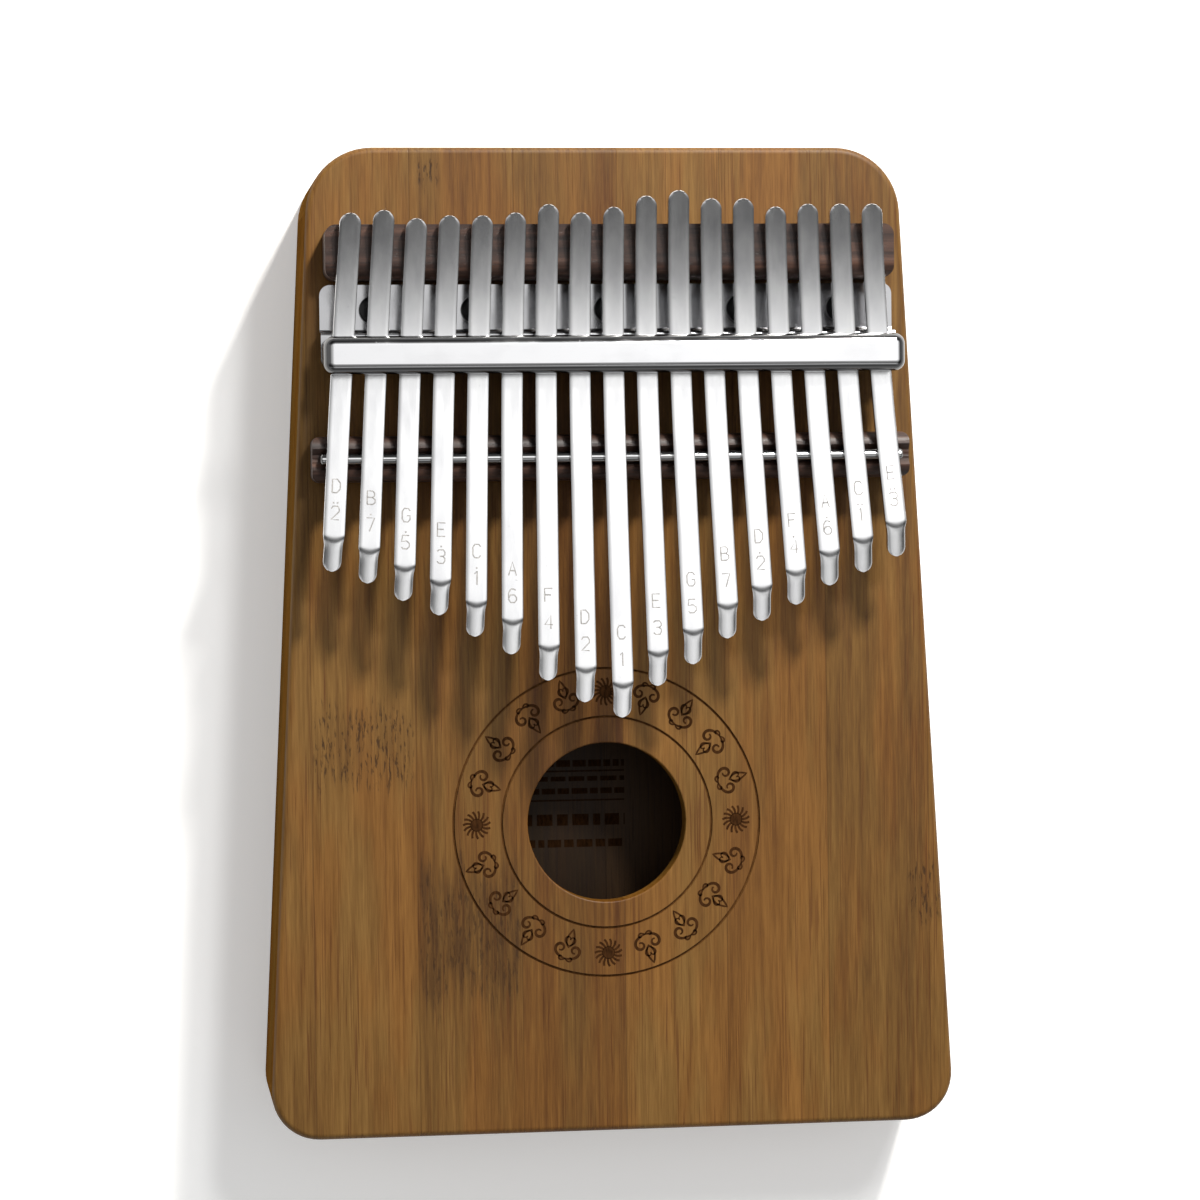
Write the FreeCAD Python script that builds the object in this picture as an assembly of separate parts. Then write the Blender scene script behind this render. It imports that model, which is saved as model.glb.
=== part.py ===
import FreeCAD, Part
import math
import os

# A 17-key mbira (kalimba) lying on its back: X across, +Y towards the backrest end, +Z up, in mm.
# The back face is z = 0 and the origin is under the middle of the body.

Vector = FreeCAD.Vector
os.makedirs("parts", exist_ok=True)

# ---- sound box ----
BODY_LENGTH = 185.0
HEAD_HALF_WIDTH = 55.6
TAIL_HALF_WIDTH = 65.2
HEAD_CORNER_R = 12.5
TAIL_CORNER_R = 9.0
BODY_DEPTH = 30.0
TOP_THICKNESS = 4.5
BACK_THICKNESS = 3.5
WALL_THICKNESS = 8.0
HEAD_BLOCK_LENGTH = 12.0
TAIL_BLOCK_LENGTH = 10.0
EDGE_ROUNDOVER = 1.2
HOLE_R = 15.0
HOLE_X = -1.2
HOLE_Y = -34.2
HOLE_EASE = 0.3
RING_RADII = (19.9, 29.0)
RING_WIDTH = 0.5
RING_DEPTH = 0.3
ANCHOR_Y = (50.0, 76.0)
ANCHOR_DEPTH = 12.0

# ---- backrest, bridge and saddle wire ----
BACKREST_Y = (67.5, 77.5)
BACKREST_HALF_LENGTH = 53.2
BACKREST_FRONT_R = 3.0
BACKREST_END_R = 2.0
BRIDGE_WIDTH = 8.5
BRIDGE_HALF_LENGTH = 56.0
BRIDGE_HEIGHT = 7.3
BRIDGE_SHOULDER_R = 2.6
BRIDGE_END_R = 1.5
GROOVE_CHAMFER = 0.9
GROOVE_FLARE = 0.8
GROOVE_LIP_LIFT = 0.01
WIRE_Y = 34.4
WIRE_R = 1.05
WIRE_HALF_LENGTH = 54.5
WIRE_END_ROUND = 0.37

# ---- bracket and pressure bar ----
BAR_Y = 53.3
BAR_WIDTH = 7.0
BAR_THICKNESS = 6.5
BAR_HEIGHT = 11.5
BAR_HALF_LENGTH = 54.0
BAR_TOP_EDGE_R = 1.8
BAR_UNDERSIDE_EDGE_R = 1.2
BAR_CORNER_R = 2.0
BRACKET_HALF_LENGTH = 54.0
BRACKET_THICKNESS = 1.5
BRACKET_FOOT_Y = (57.9, 66.8)
BRACKET_SHELF_FRONT_Y = 51.0
BRACKET_SHELF_TOP = 5.0
BRACKET_BEND_R = 0.7
BRACKET_CORNER_R = 2.0

# ---- fasteners ----
WOOD_SCREW_X = (-44.0, -25.0, 0.0, 25.0, 44.0)
WOOD_SCREW_Y = 62.1
WOOD_SCREW_HEAD_R = 2.7
WOOD_SCREW_HEAD_HEIGHT = 1.9
WOOD_SCREW_HEAD_EDGE_R = 1.2
WOOD_SCREW_R = 1.45
WOOD_SCREW_LENGTH = 13.0
WOOD_SCREW_POINT = 3.0
WOOD_SCREW_TIP_R = 0.15
RECESS_SIZE = 3.0
RECESS_DEPTH = 1.2
RECESS_ARM_HALF_WIDTH = 0.51
BAR_SCREW_GAPS = (-7.5, -4.5, -1.5, 1.5, 4.5, 7.5)
BAR_SCREW_R = 0.78
BAR_SCREW_HEAD_R = 1.6
BAR_SCREW_HEAD_HEIGHT = 1.2
BAR_SCREW_HEAD_EDGE_R = 0.5
BAR_SCREW_BITE = 3.2
BAR_SCREW_HOLE_SPARE = 0.5
SCREW_CLEARANCE = 0.05

# ---- tines ----
TINE_COUNT = 17
TINE_WIDTH = 4.0
TINE_THICKNESS = 1.1
TINE_PITCH = 6.44
FAN_APEX_DISTANCE = 763.0
TINE_ARC_R = 127.0
TINE_TOUCH_GAP = 0.03
HINGE_PAST_WIRE = 2.2
HINGE_GAP = 0.05
TIP_WIDTH = 3.4
TIP_LENGTH = 6.8
TIP_SHOULDER = 1.5
TIP_BEND_DEG = 24.0
TIP_BEND_R = 4.0
SHOULDER_PAST_BEND = 0.4
LOWEST_FREE_LENGTH = 48.0
END_CORRECTION = 4.1
SEMITONES = (26, 23, 19, 16, 12, 9, 5, 2, 0, 4, 7, 11, 14, 17, 21, 24, 28)
TOP_PROTRUSION = (2.0, 2.5, 1.0, 1.5, 1.5, 2.0, 3.5, 2.0, 3.0, 5.0, 6.0, 4.5, 4.5, 3.0, 3.5, 3.5, 3.5)

# ---- heights that follow from the ones above ----
BOARD_Z = BODY_DEPTH
BOARD_UNDERSIDE = BODY_DEPTH - TOP_THICKNESS
BAR_UNDERSIDE = BOARD_Z + BAR_HEIGHT - BAR_THICKNESS / 2.0
BAR_TO_WIRE = BAR_Y - WIRE_Y
HALF_T = TINE_THICKNESS / 2.0
ARC_CENTRE_Z = BAR_UNDERSIDE - TINE_TOUCH_GAP - HALF_T + TINE_ARC_R
WIRE_TO_ARC_CENTRE = TINE_ARC_R + HALF_T + TINE_TOUCH_GAP + WIRE_R
TINE_SLOPE = math.asin(BAR_TO_WIRE / WIRE_TO_ARC_CENTRE)
WIRE_Z = ARC_CENTRE_Z - WIRE_TO_ARC_CENTRE * math.cos(TINE_SLOPE)

# ---- cutting tools ----
OVERCUT = 1.0
TALL = 30.0
TOLERANCE = 1e-6


def box(x0, x1, y0, y1, z0, z1):
    return Part.makeBox(x1 - x0, y1 - y0, z1 - z0, Vector(x0, y0, z0))


def rod(radius, z0, z1, x, y):
    return Part.makeCylinder(radius, z1 - z0, Vector(x, y, z0))


def polygon_prism(points, direction):
    """Extrude the closed polygon through points along direction."""
    return Part.Face(Part.makePolygon(points + [points[0]])).extrude(direction)


def half_width(y):
    share = (BODY_LENGTH / 2.0 - y) / BODY_LENGTH
    return HEAD_HALF_WIDTH + share * (TAIL_HALF_WIDTH - HEAD_HALF_WIDTH)


def upright_edges(shape, test):
    """Edges parallel to Z whose middle point passes the test."""
    chosen = []
    for edge in shape.Edges:
        ends = [vertex.Point for vertex in edge.Vertexes]
        if len(ends) != 2 or math.hypot(ends[0].x - ends[1].x, ends[0].y - ends[1].y) > TOLERANCE:
            continue
        if test((ends[0] + ends[1]) * 0.5):
            chosen.append(edge)
    return chosen


def level_edges(shape, z):
    """Edges that lie wholly at one height."""
    return [edge for edge in shape.Edges
            if abs(edge.BoundBox.ZMin - z) < TOLERANCE and abs(edge.BoundBox.ZMax - z) < TOLERANCE]


def body_slab(z0, z1):
    """A slab with the outline of the sound box."""
    half = BODY_LENGTH / 2.0
    corners = [Vector(-TAIL_HALF_WIDTH, -half, z0), Vector(TAIL_HALF_WIDTH, -half, z0),
               Vector(HEAD_HALF_WIDTH, half, z0), Vector(-HEAD_HALF_WIDTH, half, z0)]
    slab = polygon_prism(corners, Vector(0, 0, z1 - z0))
    slab = slab.makeFillet(HEAD_CORNER_R, upright_edges(slab, lambda p: p.y > 0))
    return slab.makeFillet(TAIL_CORNER_R, upright_edges(slab, lambda p: p.y < 0))


def cavity_slab(y0, y1, z0, z1):
    """The inside of the sound box between two Y positions."""
    left_low = half_width(y0) - WALL_THICKNESS
    left_high = half_width(y1) - WALL_THICKNESS
    corners = [Vector(-left_low, y0, z0), Vector(left_low, y0, z0),
               Vector(left_high, y1, z0), Vector(-left_high, y1, z0)]
    return polygon_prism(corners, Vector(0, 0, z1 - z0))


def wood_screw_cut(z0, z1):
    radius = WOOD_SCREW_R + SCREW_CLEARANCE
    return Part.makeCompound([rod(radius, z0, z1, x, WOOD_SCREW_Y) for x in WOOD_SCREW_X])


def bar_screw_x(gap):
    """Middle of the gap between two tines under the bar, counted in pitches from the middle tine."""
    return gap * TINE_PITCH * (FAN_APEX_DISTANCE - BAR_TO_WIRE) / FAN_APEX_DISTANCE


def bar_screw_cut(z0, z1):
    radius = BAR_SCREW_R + SCREW_CLEARANCE
    return Part.makeCompound([rod(radius, z0, z1, bar_screw_x(gap), BAR_Y) for gap in BAR_SCREW_GAPS])


def make_top_board():
    board = body_slab(BOARD_UNDERSIDE, BOARD_Z)
    board = board.makeFillet(EDGE_ROUNDOVER, level_edges(board, BOARD_Z))
    board = board.cut(rod(HOLE_R, BOARD_UNDERSIDE - OVERCUT, BOARD_Z + OVERCUT, HOLE_X, HOLE_Y))
    rim = [edge for edge in level_edges(board, BOARD_Z) if edge.BoundBox.XLength < HEAD_HALF_WIDTH]
    board = board.makeFillet(HOLE_EASE, rim)
    for radius in RING_RADII:
        outer = rod(radius + RING_WIDTH / 2, BOARD_Z - RING_DEPTH, BOARD_Z + OVERCUT, HOLE_X, HOLE_Y)
        inner = rod(radius - RING_WIDTH / 2, BOARD_Z - RING_DEPTH, BOARD_Z + OVERCUT, HOLE_X, HOLE_Y)
        board = board.cut(outer.cut(inner))
    return board.cut(wood_screw_cut(BOARD_UNDERSIDE - OVERCUT, BOARD_Z + OVERCUT))


def make_back_board():
    board = body_slab(0, BACK_THICKNESS)
    return board.makeFillet(EDGE_ROUNDOVER, level_edges(board, 0))


def make_frame_pieces():
    """Head block, tail block and two side walls between the boards."""
    half = BODY_LENGTH / 2.0
    y_tail = -half + TAIL_BLOCK_LENGTH
    y_head = half - HEAD_BLOCK_LENGTH
    ring = body_slab(BACK_THICKNESS, BOARD_UNDERSIDE)
    ring = ring.cut(cavity_slab(y_tail, y_head, BACK_THICKNESS - OVERCUT, BOARD_UNDERSIDE + OVERCUT))
    wide = 2 * TAIL_HALF_WIDTH
    top = BODY_DEPTH
    return {
        "head_block": ring.common(box(-wide, wide, y_head, half + OVERCUT, 0, top)),
        "tail_block": ring.common(box(-wide, wide, -half - OVERCUT, y_tail, 0, top)),
        "left_wall": ring.common(box(-wide, 0, y_tail, y_head, 0, top)),
        "right_wall": ring.common(box(0, wide, y_tail, y_head, 0, top)),
    }


def make_anchor_block():
    """Hardwood block under the top board that the bracket screws bite into."""
    low = BOARD_UNDERSIDE - ANCHOR_DEPTH
    block = cavity_slab(ANCHOR_Y[0], ANCHOR_Y[1], low, BOARD_UNDERSIDE)
    return block.cut(wood_screw_cut(low - OVERCUT, BOARD_UNDERSIDE + OVERCUT))


def backrest_top():
    """Height at which the rounded front edge just meets the underside of the tines."""
    reach = TINE_ARC_R + HALF_T + TINE_TOUCH_GAP + BACKREST_FRONT_R
    along = BACKREST_Y[0] + BACKREST_FRONT_R - BAR_Y
    return ARC_CENTRE_Z - math.sqrt(reach ** 2 - along ** 2) + BACKREST_FRONT_R


def make_backrest():
    top = backrest_top()
    bar = box(-BACKREST_HALF_LENGTH, BACKREST_HALF_LENGTH, BACKREST_Y[0], BACKREST_Y[1], BOARD_Z, top)
    bar = bar.makeFillet(BACKREST_END_R, upright_edges(bar, lambda p: True))
    y = BACKREST_Y[0]
    r = BACKREST_FRONT_R
    wide = BACKREST_HALF_LENGTH + OVERCUT
    corner = box(-wide, wide, y - OVERCUT, y + r, top - r, top + OVERCUT)
    keep = Part.makeCylinder(r, 2 * wide, Vector(-wide, y + r, top - r), Vector(1, 0, 0))
    return bar.cut(corner.cut(keep))


def make_bridge():
    """Hardwood bridge: two rounded shoulders with a groove for the saddle wire between them."""
    y0 = WIRE_Y - BRIDGE_WIDTH / 2
    y1 = WIRE_Y + BRIDGE_WIDTH / 2
    top = BOARD_Z + BRIDGE_HEIGHT
    bridge = box(-BRIDGE_HALF_LENGTH, BRIDGE_HALF_LENGTH, y0, y1, BOARD_Z, top)
    bridge = bridge.makeFillet(BRIDGE_END_R, upright_edges(bridge, lambda p: True))
    r = BRIDGE_SHOULDER_R
    wide = BRIDGE_HALF_LENGTH + OVERCUT
    for edge_y, axis_y in ((y0 - OVERCUT, y0 + r), (y1 + OVERCUT, y1 - r)):
        corner = box(-wide, wide, min(edge_y, axis_y), max(edge_y, axis_y), top - r,
                     top + OVERCUT)
        keep = Part.makeCylinder(r, 2 * wide, Vector(-wide, axis_y, top - r), Vector(1, 0, 0))
        bridge = bridge.cut(corner.cut(keep))
    seat = WIRE_R + SCREW_CLEARANCE
    groove = Part.makeCylinder(seat, 2 * wide, Vector(-wide, WIRE_Y, WIRE_Z), Vector(1, 0, 0))
    lips = [Vector(-wide, WIRE_Y - seat - GROOVE_CHAMFER, top + GROOVE_LIP_LIFT),
            Vector(-wide, WIRE_Y + seat + GROOVE_CHAMFER, top + GROOVE_LIP_LIFT),
            Vector(-wide, WIRE_Y + seat * GROOVE_FLARE, top - GROOVE_CHAMFER),
            Vector(-wide, WIRE_Y - seat * GROOVE_FLARE, top - GROOVE_CHAMFER)]
    return bridge.cut(groove).cut(polygon_prism(lips, Vector(2 * wide, 0, 0)))


def make_saddle_wire():
    start = Vector(-WIRE_HALF_LENGTH, WIRE_Y, WIRE_Z)
    wire = Part.makeCylinder(WIRE_R, 2 * WIRE_HALF_LENGTH, start, Vector(1, 0, 0))
    return wire.makeFillet(WIRE_END_ROUND, [e for e in wire.Edges if e.BoundBox.XLength < TOLERANCE])


def make_bracket():
    """Z-shaped steel plate: a foot screwed to the board and a raised shelf under the bar."""
    t = BRACKET_THICKNESS
    foot0, foot1 = BRACKET_FOOT_Y
    shelf = BOARD_Z + BRACKET_SHELF_TOP
    x = -BRACKET_HALF_LENGTH
    outline = [Vector(x, foot1, BOARD_Z), Vector(x, foot1, BOARD_Z + t), Vector(x, foot0, BOARD_Z + t),
               Vector(x, foot0, shelf), Vector(x, BRACKET_SHELF_FRONT_Y, shelf),
               Vector(x, BRACKET_SHELF_FRONT_Y, shelf - t), Vector(x, foot0 - t, shelf - t),
               Vector(x, foot0 - t, BOARD_Z)]
    plate = polygon_prism(outline, Vector(2 * BRACKET_HALF_LENGTH, 0, 0))
    bends = ((foot0, BOARD_Z + t), (foot0, shelf), (foot0 - t, shelf - t), (foot0 - t, BOARD_Z))
    folds = [e for e in plate.Edges if e.BoundBox.XLength > 1 and any(
        abs(e.BoundBox.YMin - y) < TOLERANCE and abs(e.BoundBox.ZMin - z) < TOLERANCE for y, z in bends)]
    plate = plate.makeFillet(BRACKET_BEND_R, folds)
    ends = (BRACKET_SHELF_FRONT_Y, foot1)
    plate = plate.makeFillet(BRACKET_CORNER_R, upright_edges(
        plate, lambda p: min(abs(p.y - y) for y in ends) < TOLERANCE))
    plate = plate.cut(wood_screw_cut(BOARD_Z - OVERCUT, BOARD_Z + t + OVERCUT))
    return plate.cut(bar_screw_cut(shelf - t - OVERCUT, shelf + OVERCUT))


def make_pressure_bar():
    """Chrome bar with a flat top and underside and well rounded edges."""
    half = BAR_WIDTH / 2
    top = BAR_UNDERSIDE + BAR_THICKNESS
    bar = box(-BAR_HALF_LENGTH, BAR_HALF_LENGTH, BAR_Y - half, BAR_Y + half, BAR_UNDERSIDE, top)
    bar = bar.makeFillet(BAR_CORNER_R, upright_edges(bar, lambda p: True))
    bar = bar.makeFillet(BAR_TOP_EDGE_R, level_edges(bar, top))
    bar = bar.makeFillet(BAR_UNDERSIDE_EDGE_R, level_edges(bar, BAR_UNDERSIDE))
    hole_top = BAR_UNDERSIDE + BAR_SCREW_BITE + BAR_SCREW_HOLE_SPARE
    return bar.cut(bar_screw_cut(BAR_UNDERSIDE - OVERCUT, hole_top))


def cross_recess(x, y, top):
    """Four-pointed driver recess cut down from a screw head's top."""
    half = RECESS_SIZE / 2
    arm = RECESS_ARM_HALF_WIDTH
    low = top - RECESS_DEPTH
    across = box(x - half, x + half, y - arm, y + arm, low, top + OVERCUT)
    return across.fuse(box(x - arm, x + arm, y - half, y + half, low, top + OVERCUT))


def make_wood_screw(x):
    """Pan-head wood screw through the bracket foot."""
    seat = BOARD_Z + BRACKET_THICKNESS
    top = seat + WOOD_SCREW_HEAD_HEIGHT
    head = rod(WOOD_SCREW_HEAD_R, seat, top, x, WOOD_SCREW_Y)
    head = head.makeFillet(WOOD_SCREW_HEAD_EDGE_R, level_edges(head, top))
    tip = seat - WOOD_SCREW_LENGTH
    shank = rod(WOOD_SCREW_R, tip + WOOD_SCREW_POINT, seat, x, WOOD_SCREW_Y)
    point = Part.makeCone(WOOD_SCREW_TIP_R, WOOD_SCREW_R, WOOD_SCREW_POINT, Vector(x, WOOD_SCREW_Y, tip))
    screw = head.fuse([shank, point]).removeSplitter()
    return screw.cut(cross_recess(x, WOOD_SCREW_Y, top))


def make_bar_screw(gap):
    """Small machine screw from under the shelf, up between two tines into the bar."""
    x = bar_screw_x(gap)
    seat = BOARD_Z + BRACKET_SHELF_TOP - BRACKET_THICKNESS
    head = rod(BAR_SCREW_HEAD_R, seat - BAR_SCREW_HEAD_HEIGHT, seat, x, BAR_Y)
    head = head.makeFillet(BAR_SCREW_HEAD_EDGE_R, level_edges(head, seat - BAR_SCREW_HEAD_HEIGHT))
    shank = rod(BAR_SCREW_R, seat, BAR_UNDERSIDE + BAR_SCREW_BITE, x, BAR_Y)
    return head.fuse(shank).removeSplitter()


def tine_place(shape, index):
    """Move a tine from its own axes, wire at the origin and tip towards -Y, into the fan."""
    x = (index - TINE_COUNT // 2) * TINE_PITCH
    shape.rotate(Vector(0, 0, 0), Vector(0, 0, 1), math.degrees(math.atan2(x, FAN_APEX_DISTANCE)))
    shape.translate(Vector(x, WIRE_Y, 0))
    return shape


def arc_point(radius, angle):
    return Vector(0, BAR_TO_WIRE + radius * math.sin(angle), ARC_CENTRE_Z - radius * math.cos(angle))


def tine_along():
    """Direction from the wire towards the tip, along the straight sounding part."""
    return Vector(0, -math.cos(TINE_SLOPE), math.sin(TINE_SLOPE))


def curved_strip(outer_edge, inner_edge):
    """Face between two edge chains, both listed from start to end."""
    first = Part.makeLine(inner_edge[0].valueAt(inner_edge[0].FirstParameter),
                          outer_edge[0].valueAt(outer_edge[0].FirstParameter))
    last = Part.makeLine(inner_edge[-1].valueAt(inner_edge[-1].LastParameter),
                         outer_edge[-1].valueAt(outer_edge[-1].LastParameter))
    edges = [first] + outer_edge + [last] + inner_edge
    return Part.Face(Part.Wire(Part.__sortEdges__(edges)))


def widen(face):
    face.translate(Vector(-TINE_WIDTH / 2, 0, 0))
    return face.extrude(Vector(TINE_WIDTH, 0, 0))


def make_tine_shank(index):
    """The held part of a tine: an arc from the wire under the bar and over the backrest."""
    tilt = math.cos(math.atan2((index - TINE_COUNT // 2) * TINE_PITCH, FAN_APEX_DISTANCE))
    end_y = (BACKREST_Y[1] + TOP_PROTRUSION[index] - WIRE_Y) / tilt
    angles = [math.asin((end_y - BAR_TO_WIRE) / TINE_ARC_R), 0, -TINE_SLOPE]
    reach = tine_along() * (HINGE_PAST_WIRE - HALF_T - HINGE_GAP)
    chains = []
    for side in (HALF_T, -HALF_T):
        a, b, c = [arc_point(TINE_ARC_R - side, angle) for angle in angles]
        chains.append([Part.Arc(a, b, c).toShape(), Part.makeLine(c, c + reach)])
    strip = widen(curved_strip(chains[0], chains[1]))
    half = TINE_WIDTH / 2
    wide = half + OVERCUT
    plan = box(-wide, wide, -HINGE_PAST_WIRE - OVERCUT, end_y - half, BOARD_Z, BOARD_Z + TALL)
    plan = plan.fuse(rod(half, BOARD_Z, BOARD_Z + TALL, 0, end_y - half))
    return tine_place(strip.common(plan), index)


def free_length(index):
    """Plan length from wire to tip; pitch falls with the square of the vibrating length."""
    vibrating = (LOWEST_FREE_LENGTH + END_CORRECTION) * 2.0 ** (-SEMITONES[index] / 24.0)
    return vibrating - END_CORRECTION


def make_tine_free(index):
    """The sounding part of a tine: straight past the wire, then bent down at the tip."""
    length = free_length(index)
    slope = TINE_SLOPE
    bend = math.radians(TIP_BEND_DEG)
    root = arc_point(TINE_ARC_R, -slope)
    along = tine_along()
    normal = Vector(0, math.sin(slope), math.cos(slope))
    begin = root + along * HINGE_PAST_WIRE
    straight = (length - TIP_LENGTH + root.y) / math.cos(slope)
    bend_start = root + along * straight
    bend_centre = bend_start - normal * TIP_BEND_R

    def on_bend(radius, angle):
        return bend_centre + Vector(0, math.sin(slope - angle), math.cos(slope - angle)) * radius

    tip_dir = Vector(0, -math.cos(slope - bend), math.sin(slope - bend))
    bend_end = on_bend(TIP_BEND_R, bend)
    tip_run = (length + bend_end.y) / math.cos(slope - bend)
    chains = []
    for side in (HALF_T, -HALF_T):
        radius = TIP_BEND_R + side
        a, b, c = [on_bend(radius, angle) for angle in (0, bend / 2, bend)]
        chains.append([Part.makeLine(begin + normal * side, a), Part.Arc(a, b, c).toShape(),
                       Part.makeLine(c, c + tip_dir * tip_run)])
    strip = widen(curved_strip(chains[0], chains[1]))
    nose = Part.makeCylinder(HALF_T, TINE_WIDTH, begin - Vector(TINE_WIDTH / 2, 0, 0), Vector(1, 0, 0))
    strip = strip.fuse(nose).removeSplitter()
    return tine_place(strip.common(free_plan(length)), index)


def free_plan(length):
    """Plan outline of the sounding part, with shoulders and a rounded, narrower tip."""
    half = TINE_WIDTH / 2
    tip = TIP_WIDTH / 2
    shoulder = -(length - TIP_LENGTH + SHOULDER_PAST_BEND)
    points = [(half, OVERCUT), (half, shoulder), (tip, shoulder - TIP_SHOULDER), (tip, -length + tip)]
    ring = [Vector(x, y, BOARD_Z) for x, y in points]
    ring += [Vector(-x, y, BOARD_Z) for x, y in reversed(points)]
    plan = polygon_prism(ring, Vector(0, 0, TALL))
    return plan.fuse(rod(tip, BOARD_Z, BOARD_Z + TALL, 0, -length + tip))


def build():
    nodes = {
        "top_board": make_top_board(),
        "back_board": make_back_board(),
        "anchor_block": make_anchor_block(),
        "backrest": make_backrest(),
        "bridge": make_bridge(),
        "saddle_wire": make_saddle_wire(),
        "bracket": make_bracket(),
        "pressure_bar": make_pressure_bar(),
        "bracket_screws": Part.makeCompound([make_wood_screw(x) for x in WOOD_SCREW_X]),
        "bar_screws": Part.makeCompound([make_bar_screw(gap) for gap in BAR_SCREW_GAPS]),
    }
    nodes.update(make_frame_pieces())
    for index in range(TINE_COUNT):
        nodes["tine_%02d" % (index + 1)] = make_tine_shank(index)
        nodes["tine_%02d_free" % (index + 1)] = make_tine_free(index)
    return nodes


for name, shape in build().items():
    shape.exportStep("parts/%s.step" % name)
    bb = shape.BoundBox
    print("%-16s solids %d valid %s vol %9.2f  x %.2f..%.2f y %.2f..%.2f z %.2f..%.2f" % (
        name, len(shape.Solids), shape.isValid(), shape.Volume,
        bb.XMin, bb.XMax, bb.YMin, bb.YMax, bb.ZMin, bb.ZMax))
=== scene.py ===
import math
import random

import bpy
from mathutils import Matrix, Vector


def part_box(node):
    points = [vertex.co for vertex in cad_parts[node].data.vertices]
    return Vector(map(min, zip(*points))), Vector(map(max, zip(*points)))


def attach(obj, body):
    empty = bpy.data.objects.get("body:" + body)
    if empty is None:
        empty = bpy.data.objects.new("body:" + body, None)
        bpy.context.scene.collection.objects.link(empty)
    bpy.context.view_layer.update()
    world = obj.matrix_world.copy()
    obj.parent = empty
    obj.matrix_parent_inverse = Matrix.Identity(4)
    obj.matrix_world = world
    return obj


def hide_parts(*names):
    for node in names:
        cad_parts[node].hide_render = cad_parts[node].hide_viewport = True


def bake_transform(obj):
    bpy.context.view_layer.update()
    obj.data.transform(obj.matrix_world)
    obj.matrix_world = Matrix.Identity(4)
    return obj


MM = 0.001
random.seed(17)

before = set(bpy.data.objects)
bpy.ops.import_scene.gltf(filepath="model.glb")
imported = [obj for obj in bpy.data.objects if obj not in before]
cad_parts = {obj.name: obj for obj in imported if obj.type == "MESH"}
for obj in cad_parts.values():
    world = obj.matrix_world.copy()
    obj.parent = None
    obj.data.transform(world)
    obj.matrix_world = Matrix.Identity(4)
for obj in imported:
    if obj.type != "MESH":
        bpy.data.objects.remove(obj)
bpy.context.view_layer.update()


def corners_mm(node):
    """Lowest and highest corner of a CAD node at rest, in mm."""
    return [[value / MM for value in corner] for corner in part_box(node)]


# ---- places read from the frame, in mm ----
BOARD_TOP = corners_mm("top_board")[1][2]
TOP_BOARD_UNDERSIDE = corners_mm("top_board")[0][2]
BACK_BOARD_TOP = corners_mm("back_board")[1][2]
BACKREST_REAR_Y = corners_mm("backrest")[1][1]
BAR_LOW, BAR_HIGH = corners_mm("pressure_bar")
WIRE_LOW, WIRE_HIGH = corners_mm("saddle_wire")
BAR_Y = (BAR_LOW[1] + BAR_HIGH[1]) / 2
WIRE_Y = (WIRE_LOW[1] + WIRE_HIGH[1]) / 2
WIRE_R = (WIRE_HIGH[2] - WIRE_LOW[2]) / 2
BAR_TO_WIRE = BAR_Y - WIRE_Y

# ---- the CAD part's driving dimensions for the rosette and the tines, in mm ----
HOLE_X = -1.2
HOLE_Y = -34.2
RING_RADII = (19.9, 29.0)
RING_DEPTH = 0.3
TINE_COUNT = 17
TINE_WIDTH = 4.0
HALF_T = 0.55
TINE_PITCH = 6.44
FAN_APEX_DISTANCE = 763.0
TINE_ARC_R = 127.0
TOUCH_GAP = 0.03
TIP_WIDTH = 3.4
TIP_LENGTH = 6.8
TIP_SHOULDER = 1.5
TIP_BEND = math.radians(24.0)
TIP_BEND_R = 4.0
LOWEST_FREE_LENGTH = 48.0
END_CORRECTION = 4.1
SEMITONES = (26, 23, 19, 16, 12, 9, 5, 2, 0, 4, 7, 11, 14, 17, 21, 24, 28)
TOP_PROTRUSION = (2.0, 2.5, 1.0, 1.5, 1.5, 2.0, 3.5, 2.0, 3.0, 5.0, 6.0, 4.5, 4.5, 3.0, 3.5, 3.5, 3.5)
ARC_CENTRE_Z = BAR_LOW[2] - TOUCH_GAP - HALF_T + TINE_ARC_R
SLOPE = math.asin(BAR_TO_WIRE / (TINE_ARC_R + HALF_T + TOUCH_GAP + WIRE_R))

# ---- tine strips, in mm ----
# END_SHY and the thinner STRIP_HALF_T keep a drawn strip just inside its CAD tine.
# BLEND_SHARE is a share of the straight run, measured from the root.
TINE_EDGE = 0.16
TIP_CROWN = 0.26
CROWN_RUN = 2.2
SHOULDER_PAST_BEND = 0.4
POINT_HALF_WIDTH = 0.12
END_SHY = 0.02
STRIP_HALF_T = HALF_T - 0.002
BLEND_SHARE = 0.62
TOP_POINTS = 7
END_STEPS = 8
ARC_STEPS = 24
RUN_STEPS = 20
BEND_STEPS = 6
TIP_STEPS = 5
SMOOTH_DEG = 32

# ---- note marks, in mm ----
NOTE_NAMES = "DBGECAFDCEGBDFACE"
NOTE_NUMBERS = {"C": "1", "D": "2", "E": "3", "F": "4", "G": "5", "A": "6", "B": "7"}
GLYPH_WIDTH = 1.45
GLYPH_HEIGHT = 2.5
GLYPH_STROKE = 0.26
NUMBER_ABOVE_BEND = 3.8
LETTER_ABOVE_BEND = 8.8
OCTAVE_DOT = 0.32
OCTAVE_DOT_PITCH = 0.75
OCTAVE_DOT_GAP = 0.62
INK_LIFT = 0.012

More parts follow.
